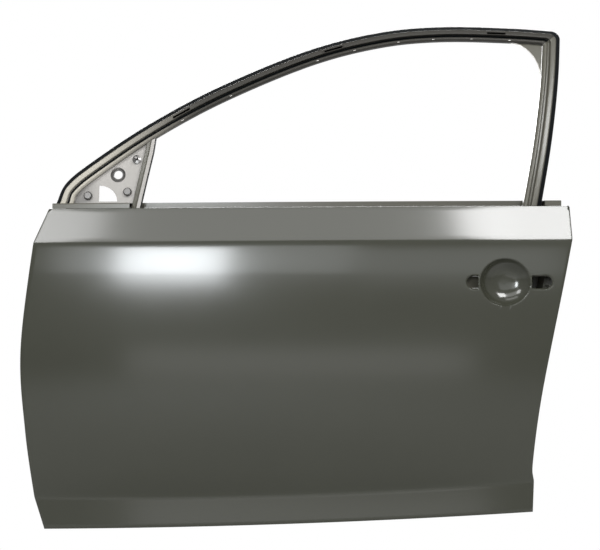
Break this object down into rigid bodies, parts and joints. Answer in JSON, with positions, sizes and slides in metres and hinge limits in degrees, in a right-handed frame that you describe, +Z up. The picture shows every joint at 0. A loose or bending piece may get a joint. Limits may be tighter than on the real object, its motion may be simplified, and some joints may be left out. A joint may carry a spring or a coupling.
{
  "type": "car door shell",
  "caption": "Front left door shell with framed side window, hemmed outer skin, dished handle recess, deep inner pressing and inner strengthening parts.",
  "frame": {"origin": "centre of the upper hinge's seat on the door's front end face", "axes": "+X towards the rear of the car, +Y into the cabin, +Z up"},
  "size_m": [1.2076, 0.2503, 1.127],
  "materials": {
    "primer": "semi-gloss grey-olive primer",
    "dark_primer": "satin dark primer",
    "bare_steel": "plated fixings",
    "mastic": "matt anti-flutter mastic"
  },
  "bodies": {
    "root": {"outer_panel": "primer", "inner_panel": "primer", "header_rail": "dark_primer", "header_inner_rail": "primer", "rear_pillar_rail": "primer", "rear_pillar_inner_rail": "primer", "frame_corner_gusset": "primer", "divider_bar": "primer", "divider_bracket": "primer", "mirror_plate": "primer", "mirror_stud_top": "bare_steel", "mirror_nut_front": "bare_steel", "mirror_nut_rear": "bare_steel", "belt_end_plate_front": "primer", "belt_end_plate_rear": "primer", "belt_reinforcement_outer": "primer", "belt_reinforcement_inner": "primer", "hinge_reinforcement_upper": "primer", "hinge_reinforcement_lower": "primer", "hinge_nut_plate_upper": "bare_steel", "hinge_nut_plate_lower": "bare_steel", "door_check_reinforcement": "primer", "latch_reinforcement": "primer", "intrusion_beam": "primer", "beam_bracket_front": "primer", "beam_bracket_rear": "primer", "beam_mastic_pad_1": "mastic", "beam_mastic_pad_2": "mastic", "beam_mastic_pad_3": "mastic", "beam_mastic_pad_4": "mastic", "handle_reinforcement": "primer", "rear_glass_guide": "primer", "rear_guide_bracket": "primer"}
  },
  "joints": []
}
